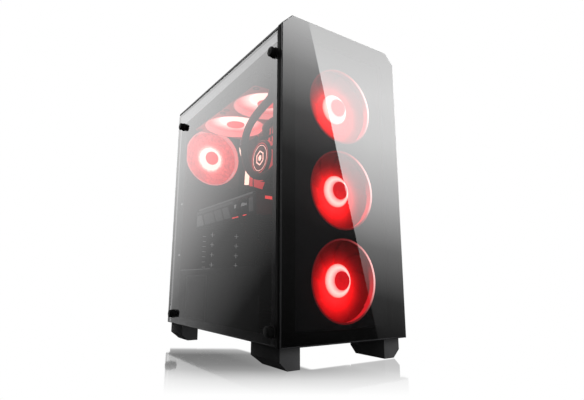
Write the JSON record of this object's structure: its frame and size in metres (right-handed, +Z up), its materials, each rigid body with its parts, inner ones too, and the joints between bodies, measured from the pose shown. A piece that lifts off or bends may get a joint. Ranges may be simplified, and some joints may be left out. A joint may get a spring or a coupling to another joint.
{
  "type": "desktop computer tower",
  "caption": "Mid-tower desktop computer with dark glass front and side, lit fans, liquid cooler, graphics card and power supply inside a black steel case on short feet",
  "frame": {"origin": "under the middle of the machine's bounding box, on the surface that the feet stand on", "axes": "+Z up, -Y out of the glass front, -X out of the glass side"},
  "size_m": [0.219, 0.397, 0.4565],
  "materials": {
    "black_steel": "fine satin powder coat",
    "black_plastic": "satin",
    "black_screw": "satin",
    "tinted_glass": "polished",
    "filter_mesh": "matte",
    "button_plastic": "satin",
    "lit_rotor": "translucent, lit red from the hub",
    "dark_rotor": "satin",
    "tube_rubber": "matte",
    "circuit_board": "satin",
    "bare_steel": "brushed",
    "dark_metal": "anodised"
  },
  "bodies": {
    "chassis": {"chassis_bottom": "black_steel", "chassis_top": "black_steel", "chassis_front": "black_steel", "chassis_rear": "black_steel", "motherboard_tray": "black_steel", "psu_shroud": "black_steel", "drive_cage": "black_steel", "foot_front_left": "black_plastic", "foot_front_right": "black_plastic", "foot_rear_left": "black_plastic", "foot_rear_right": "black_plastic", "io_panel": "black_plastic", "io_board": "circuit_board", "front_lower_fan_frame": "black_plastic", "front_middle_fan_frame": "black_plastic", "front_upper_fan_frame": "black_plastic", "rear_fan_frame": "black_plastic", "top_front_fan_frame": "black_plastic", "top_rear_fan_frame": "black_plastic", "radiator": "dark_metal", "pump_block": "black_plastic", "tube_a": "tube_rubber", "tube_b": "tube_rubber", "motherboard": "circuit_board", "io_cover": "black_plastic", "io_shield": "bare_steel", "ram_1": "dark_metal", "ram_2": "dark_metal", "gpu_card": "dark_metal", "gpu_shroud": "black_plastic", "psu_housing": "black_steel", "psu_board": "circuit_board", "hard_drive": "dark_metal", "slot_covers": "bare_steel", "atx_cable": "tube_rubber", "gpu_cable": "tube_rubber"},
    "front_panel": {"front_glass": "tinted_glass", "front_bezel": "black_plastic"},
    "side_glass": {"left_glass": "tinted_glass"},
    "side_panel": {"right_panel": "black_steel"},
    "roof_filter": {"top_filter": "filter_mesh"},
    "floor_filter": {"psu_filter": "filter_mesh"},
    "power_key": {"power_button": "button_plastic"},
    "reset_key": {"reset_button": "button_plastic"},
    "supply_switch": {"psu_switch": "black_plastic"},
    "glass_thumbscrew_front_top": {"glass_screw_front_top": "black_screw"},
    "glass_thumbscrew_front_bottom": {"glass_screw_front_bottom": "black_screw"},
    "glass_thumbscrew_rear_top": {"glass_screw_rear_top": "black_screw"},
    "glass_thumbscrew_rear_bottom": {"glass_screw_rear_bottom": "black_screw"},
    "panel_thumbscrew_top": {"panel_screw_top": "black_screw"},
    "panel_thumbscrew_bottom": {"panel_screw_bottom": "black_screw"},
    "front_lower_rotor": {"front_lower_fan_rotor": "lit_rotor"},
    "front_middle_rotor": {"front_middle_fan_rotor": "lit_rotor"},
    "front_upper_rotor": {"front_upper_fan_rotor": "lit_rotor"},
    "rear_rotor": {"rear_fan_rotor": "lit_rotor"},
    "top_front_rotor": {"top_front_fan_rotor": "lit_rotor"},
    "top_rear_rotor": {"top_rear_fan_rotor": "lit_rotor"},
    "gpu_front_rotor": {"gpu_front_fan_rotor": "dark_rotor"},
    "gpu_rear_rotor": {"gpu_rear_fan_rotor": "dark_rotor"},
    "supply_rotor": {"psu_fan_rotor": "dark_rotor"}
  },
  "joints": [
    {"name": "front_panel_pull", "type": "slide", "parent": "chassis", "child": "front_panel", "axis": [0, -1, 0], "range_m": [0, 0.06]},
    {"name": "side_glass_removal", "type": "slide", "parent": "chassis", "child": "side_glass", "axis": [-1, 0, 0], "range_m": [0, 0.12]},
    {"name": "side_panel_slide", "type": "slide", "parent": "chassis", "child": "side_panel", "axis": [0, 1, 0], "range_m": [0, 0.38]},
    {"name": "roof_filter_lift", "type": "slide", "parent": "chassis", "child": "roof_filter", "axis": [0, 0, 1], "range_m": [0, 0.05]},
    {"name": "floor_filter_slide", "type": "slide", "parent": "chassis", "child": "floor_filter", "axis": [0, 1, 0], "range_m": [0, 0.15]},
    {"name": "power_press", "type": "slide", "parent": "chassis", "child": "power_key", "axis": [0, 0, -1], "range_m": [0, 0.0015], "stiffness_N_per_m": 500, "springref_m": -0.001},
    {"name": "reset_press", "type": "slide", "parent": "chassis", "child": "reset_key", "axis": [0, 0, -1], "range_m": [0, 0.0015], "stiffness_N_per_m": 400, "springref_m": -0.001},
    {"name": "supply_switch_tip", "type": "hinge", "parent": "chassis", "child": "supply_switch", "pos_m": [-0.021, 0.1856, 0.0565], "axis": [1, 0, 0], "range_deg": [0, 16]},
    {"name": "turn_glass_thumbscrew_front_top", "type": "hinge", "parent": "side_glass", "child": "glass_thumbscrew_front_top", "pos_m": [-0.1005, -0.181, 0.4025], "axis": [1, 0, 0], "continuous": true},
    {"name": "turn_glass_thumbscrew_front_bottom", "type": "hinge", "parent": "side_glass", "child": "glass_thumbscrew_front_bottom", "pos_m": [-0.1005, -0.181, 0.0445], "axis": [1, 0, 0], "continuous": true},
    {"name": "turn_glass_thumbscrew_rear_top", "type": "hinge", "parent": "side_glass", "child": "glass_thumbscrew_rear_top", "pos_m": [-0.1005, 0.158, 0.4025], "axis": [1, 0, 0], "continuous": true},
    {"name": "turn_glass_thumbscrew_rear_bottom", "type": "hinge", "parent": "side_glass", "child": "glass_thumbscrew_rear_bottom", "pos_m": [-0.1005, 0.158, 0.0445], "axis": [1, 0, 0], "continuous": true},
    {"name": "turn_panel_thumbscrew_top", "type": "hinge", "parent": "side_panel", "child": "panel_thumbscrew_top", "pos_m": [0.0985, 0.1913, 0.3565], "axis": [0, 1, 0], "continuous": true},
    {"name": "turn_panel_thumbscrew_bottom", "type": "hinge", "parent": "side_panel", "child": "panel_thumbscrew_bottom", "pos_m": [0.0985, 0.1913, 0.1265], "axis": [0, 1, 0], "continuous": true},
    {"name": "front_lower_fan_spin", "type": "hinge", "parent": "chassis", "child": "front_lower_rotor", "pos_m": [0.0095, -0.186, 0.1035], "axis": [0, 1, 0], "continuous": true},
    {"name": "front_middle_fan_spin", "type": "hinge", "parent": "chassis", "child": "front_middle_rotor", "pos_m": [0.0095, -0.186, 0.227], "axis": [0, 1, 0], "continuous": true},
    {"name": "front_upper_fan_spin", "type": "hinge", "parent": "chassis", "child": "front_upper_rotor", "pos_m": [0.0095, -0.186, 0.3505], "axis": [0, 1, 0], "continuous": true},
    {"name": "rear_fan_spin", "type": "hinge", "parent": "chassis", "child": "rear_rotor", "pos_m": [-0.0331, 0.1631, 0.3521], "axis": [0, 1, 0], "continuous": true},
    {"name": "top_front_fan_spin", "type": "hinge", "parent": "chassis", "child": "top_front_rotor", "pos_m": [-0.0185, -0.0265, 0.3995], "axis": [0, 0, 1], "continuous": true},
    {"name": "top_rear_fan_spin", "type": "hinge", "parent": "chassis", "child": "top_rear_rotor", "pos_m": [-0.0185, 0.0939, 0.3995], "axis": [0, 0, 1], "continuous": true},
    {"name": "gpu_front_fan_spin", "type": "hinge", "parent": "chassis", "child": "gpu_front_rotor", "pos_m": [0.0055, 0.0065, 0.2067], "axis": [0, 0, 1], "continuous": true},
    {"name": "gpu_rear_fan_spin", "type": "hinge", "parent": "chassis", "child": "gpu_rear_rotor", "pos_m": [0.0055, 0.1135, 0.2067], "axis": [0, 0, 1], "continuous": true},
    {"name": "supply_fan_spin", "type": "hinge", "parent": "chassis", "child": "supply_rotor", "pos_m": [0.0005, 0.1065, 0.0315], "axis": [0, 0, 1], "continuous": true}
  ]
}
